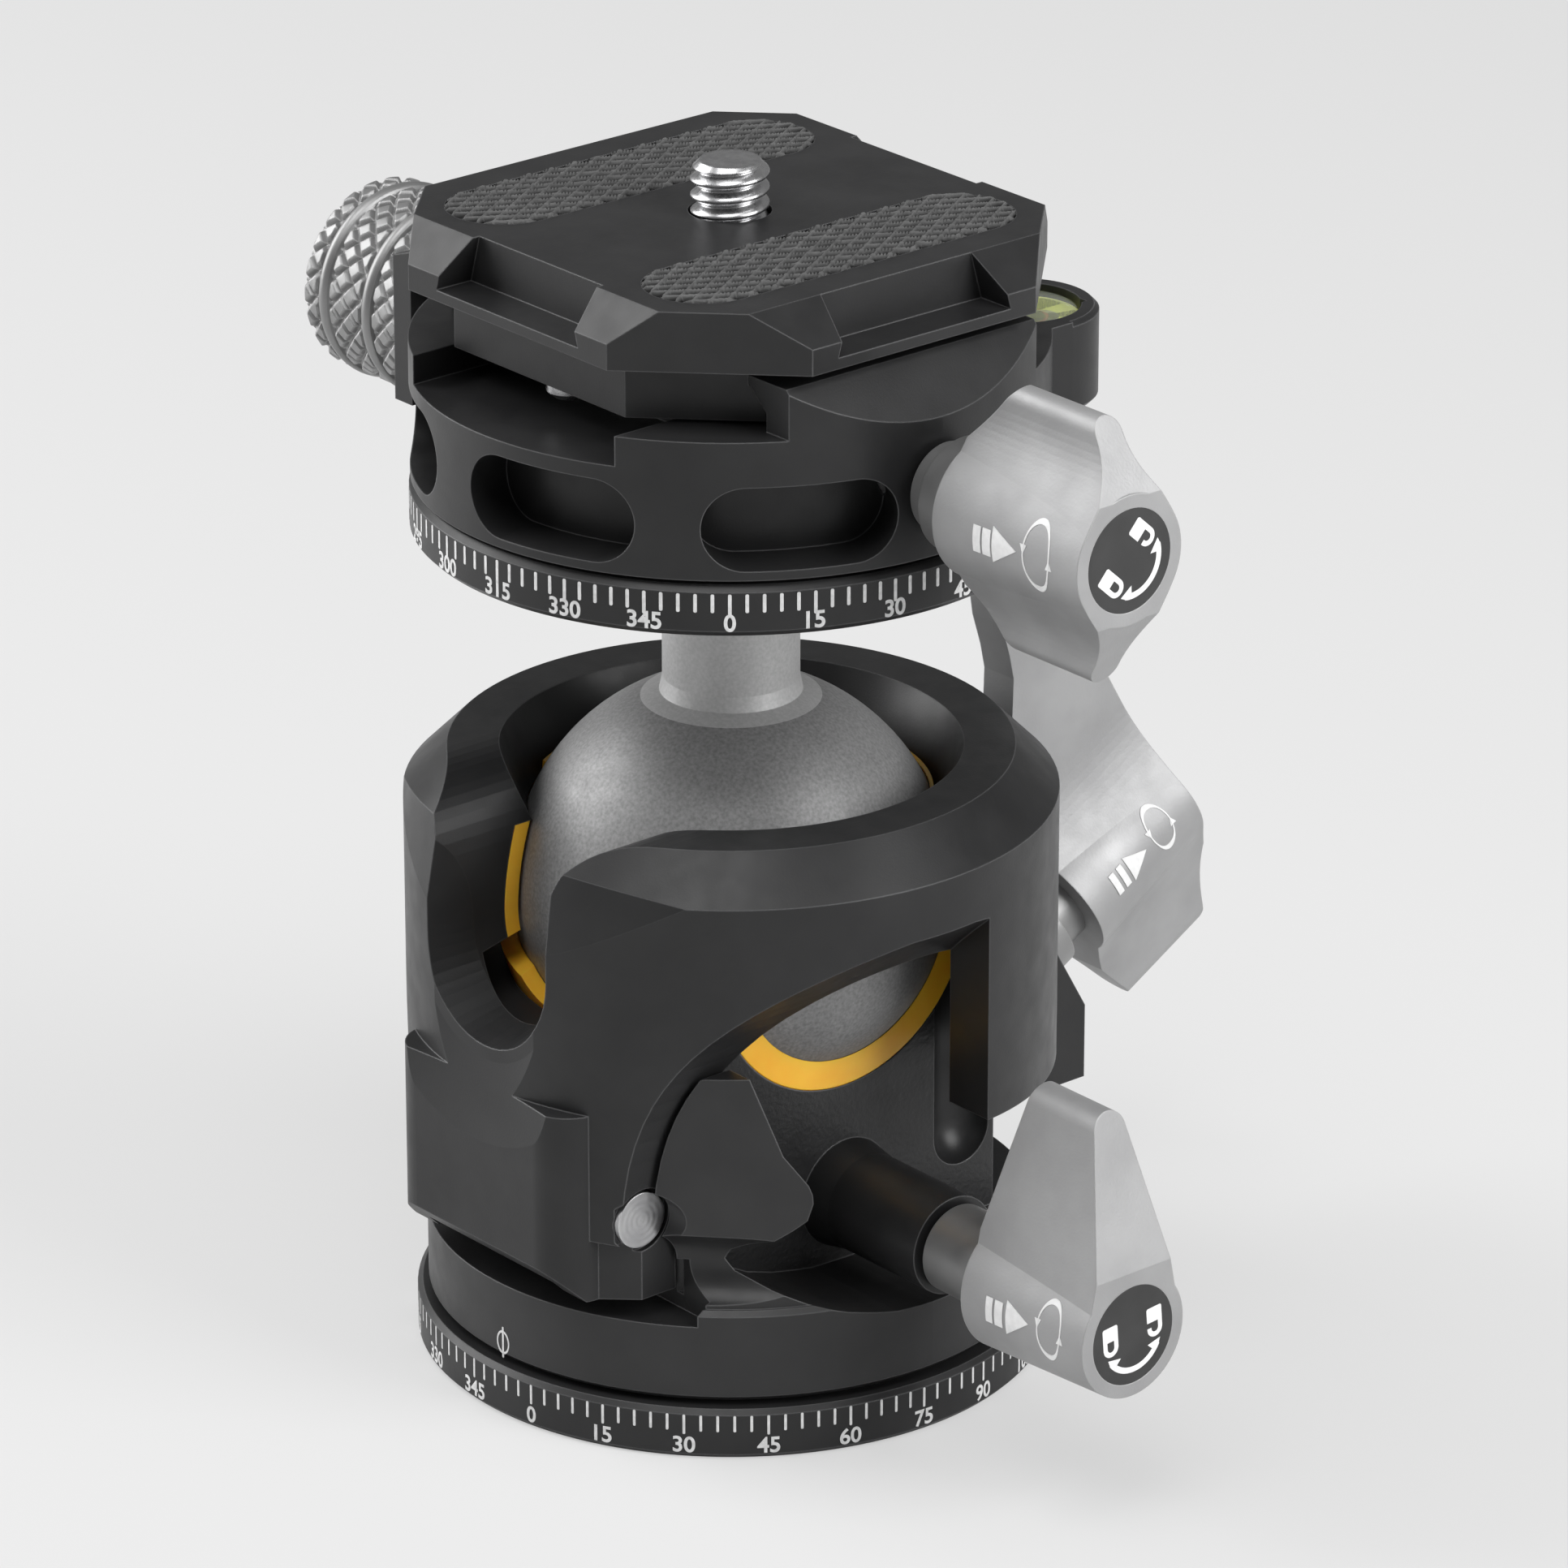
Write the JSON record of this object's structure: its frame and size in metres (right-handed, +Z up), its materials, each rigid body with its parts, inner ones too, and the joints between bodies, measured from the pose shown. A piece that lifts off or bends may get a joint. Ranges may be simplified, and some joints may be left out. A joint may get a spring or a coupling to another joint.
{
  "type": "tripod ball head",
  "caption": "Tripod ball head with a hinged ball clamp, a drop notch, panning base and top clamp, lever locks and a quick-release plate with a camera screw.",
  "frame": {"origin": "centre of the base's underside, on the pan axis", "axes": "+Z up along the stem, -Y toward the drop notch and the hinge, +X toward the pan lock's lever, +Y toward the ball lock's lever"},
  "size_m": [0.0927, 0.0764, 0.0989],
  "materials": {
    "black_anodised": "satin",
    "steel": "satin",
    "washer": "matte",
    "liner": "satin",
    "silver_lever": "satin",
    "lever_disc": "gloss",
    "lock_shoe": "satin",
    "ball_finish": "satin",
    "level_liquid": "gloss",
    "bubble": "gloss",
    "lens": "gloss",
    "rubber": "matte"
  },
  "bodies": {
    "base": {"pan_base": "black_anodised", "pan_clip": "steel"},
    "housing": {"lower_housing": "black_anodised", "pan_washer": "washer", "lower_liner": "liner", "hinge_pin": "steel"},
    "cap": {"ball_cap": "black_anodised", "upper_liner": "liner"},
    "ball_lock_spindle": {"ball_lock_spindle": "steel", "ball_lock_screw": "steel"},
    "ball_lock_lever": {"ball_lock_lever": "silver_lever", "ball_lock_spring": "steel", "ball_lock_disc": "lever_disc"},
    "pan_lock_shoe": {"pan_lock_shoe": "lock_shoe"},
    "pan_lock_spindle": {"pan_lock_spindle": "steel", "pan_lock_screw": "steel"},
    "pan_lock_lever": {"pan_lock_lever": "silver_lever", "pan_lock_spring": "steel", "pan_lock_disc": "lever_disc"},
    "tilt": {"stem_bolt": "steel"},
    "ball": {"ball_stem": "ball_finish", "scale_disc": "black_anodised", "top_clip": "steel"},
    "clamp": {"clamp_body": "black_anodised", "top_washer": "washer", "level_vial": "level_liquid", "level_bubble": "bubble", "level_lens": "lens"},
    "jaw": {"moving_jaw": "black_anodised", "jaw_pins": "steel", "jaw_springs": "steel"},
    "knob": {"clamp_knob": "silver_lever", "knob_screw": "steel"},
    "top_lock_shoe": {"top_lock_shoe": "lock_shoe"},
    "top_lock_spindle": {"top_lock_spindle": "steel", "top_lock_screw": "steel"},
    "top_lock_lever": {"top_lock_lever": "silver_lever", "top_lock_spring": "steel", "top_lock_disc": "lever_disc"},
    "plate": {"plate": "black_anodised", "grip_pads": "rubber", "screw_ring": "steel", "stop_screws": "steel"},
    "camera_screw": {"camera_screw": "steel"}
  },
  "joints": [
    {"name": "base_pan", "type": "hinge", "parent": "base", "child": "housing", "pos_m": [0, 0, 0], "axis": [0, 0, 1], "continuous": true},
    {"name": "cap_pivot", "type": "hinge", "parent": "housing", "child": "cap", "pos_m": [0, -0.0203, 0.0197], "axis": [1, 0, 0], "range_deg": [-0.31, 0]},
    {"name": "ball_lock_turn", "type": "hinge", "parent": "housing", "child": "ball_lock_spindle", "pos_m": [0, 0.026, 0.0229], "axis": [0, 0.866, 0.5], "range_deg": [-90, 0]},
    {"name": "ball_lock_pull", "type": "slide", "parent": "ball_lock_spindle", "child": "ball_lock_lever", "axis": [0, 0.866, 0.5], "range_m": [0, 0.0025], "stiffness_N_per_m": 600, "springref_m": -0.002, "deforming": ["ball_lock_spring"]},
    {"name": "pan_lock_turn", "type": "hinge", "parent": "housing", "child": "pan_lock_spindle", "pos_m": [0.0275, 0, 0.0163], "axis": [1, 0, 0], "range_deg": [-90, 0]},
    {"name": "pan_lock_pull", "type": "slide", "parent": "pan_lock_spindle", "child": "pan_lock_lever", "axis": [1, 0, 0], "range_m": [0, 0.0025], "stiffness_N_per_m": 600, "springref_m": -0.002, "deforming": ["pan_lock_spring"]},
    {"name": "pan_lock_press", "type": "slide", "parent": "housing", "child": "pan_lock_shoe", "axis": [1, 0, 0], "range_m": [-0.00021, 0]},
    {"name": "ball_tilt", "type": "hinge", "parent": "housing", "child": "tilt", "pos_m": [0, 0, 0.0386], "axis": [1, 0, 0], "range_deg": [-15, 90]},
    {"name": "ball_spin", "type": "hinge", "parent": "tilt", "child": "ball", "pos_m": [0, 0, 0.0386], "axis": [0, 0, 1], "continuous": true},
    {"name": "top_pan", "type": "hinge", "parent": "ball", "child": "clamp", "pos_m": [0, 0, 0.0737], "axis": [0, 0, 1], "continuous": true},
    {"name": "top_lock_turn", "type": "hinge", "parent": "clamp", "child": "top_lock_spindle", "pos_m": [0.0255, 0, 0.0793], "axis": [1, 0, 0], "range_deg": [-90, 0]},
    {"name": "top_lock_pull", "type": "slide", "parent": "top_lock_spindle", "child": "top_lock_lever", "axis": [1, 0, 0], "range_m": [0, 0.0025], "stiffness_N_per_m": 600, "springref_m": -0.002, "deforming": ["top_lock_spring"]},
    {"name": "top_lock_press", "type": "slide", "parent": "clamp", "child": "top_lock_shoe", "axis": [1, 0, 0], "range_m": [-0.00021, 0]},
    {"name": "jaw_open", "type": "slide", "parent": "clamp", "child": "jaw", "axis": [-1, 0, 0], "range_m": [0, 0.004], "deforming": ["jaw_springs"]},
    {"name": "knob_turn", "type": "hinge", "parent": "jaw", "child": "knob", "pos_m": [-0.0305, 0, 0.078], "axis": [-1, 0, 0], "range_deg": [0, 1440]},
    {"name": "plate_slide", "type": "slide", "parent": "clamp", "child": "plate", "axis": [0, 1, 0], "range_m": [-0.0025, 0.0025]},
    {"name": "camera_screw_turn", "type": "hinge", "parent": "plate", "child": "camera_screw", "pos_m": [0, 0, 0.09], "axis": [0, 0, 1], "continuous": true}
  ],
  "couplings": [
    {"joint": "cap_pivot", "follows": "ball_lock_turn", "ratio": 0.0033333},
    {"joint": "pan_lock_press", "follows": "pan_lock_turn", "m_per_rad": 0.00012732},
    {"joint": "top_lock_press", "follows": "top_lock_turn", "m_per_rad": 0.00012732},
    {"joint": "knob_turn", "follows": "jaw_open", "rad_per_m": 6283}
  ]
}
